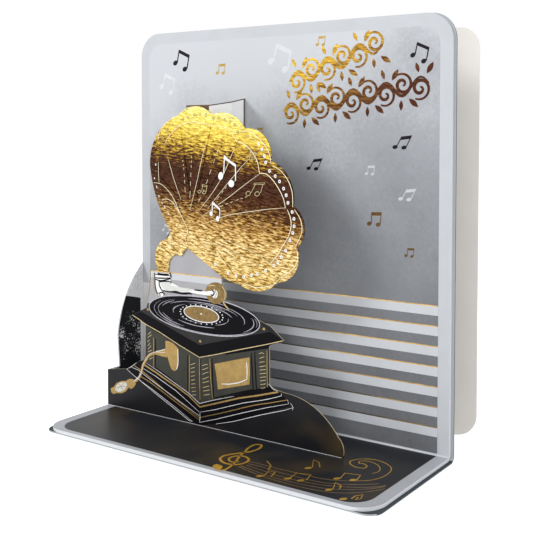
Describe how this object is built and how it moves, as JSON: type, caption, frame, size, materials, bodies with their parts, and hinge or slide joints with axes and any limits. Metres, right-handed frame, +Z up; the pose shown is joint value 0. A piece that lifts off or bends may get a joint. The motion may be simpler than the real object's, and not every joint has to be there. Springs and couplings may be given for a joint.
{
  "type": "pop up card",
  "caption": "Pop-up greeting card standing open, with a gold-foil gramophone scene in front of a grey printed wall, a black stage and base, and a cream rear leaf.",
  "frame": {"origin": "middle of the underside of the base, on the surface the card stands on", "axes": "+X along the fold to the card's right, +Y to the back, +Z up the wall"},
  "size_m": [0.1518, 0.0878, 0.1617],
  "materials": {
    "printed_card": "satin print",
    "dark_board": "matt",
    "cream_card": "matt",
    "black_print": "semi-gloss print",
    "gold_foil": "metallic foil",
    "white_card": "matt"
  },
  "bodies": {
    "root": {"printed_card": "printed_card", "backing_ply": "dark_board", "back_leaf": "cream_card", "scene_layer": "black_print", "horn": "gold_foil", "horn_strut": "white_card"}
  },
  "joints": []
}
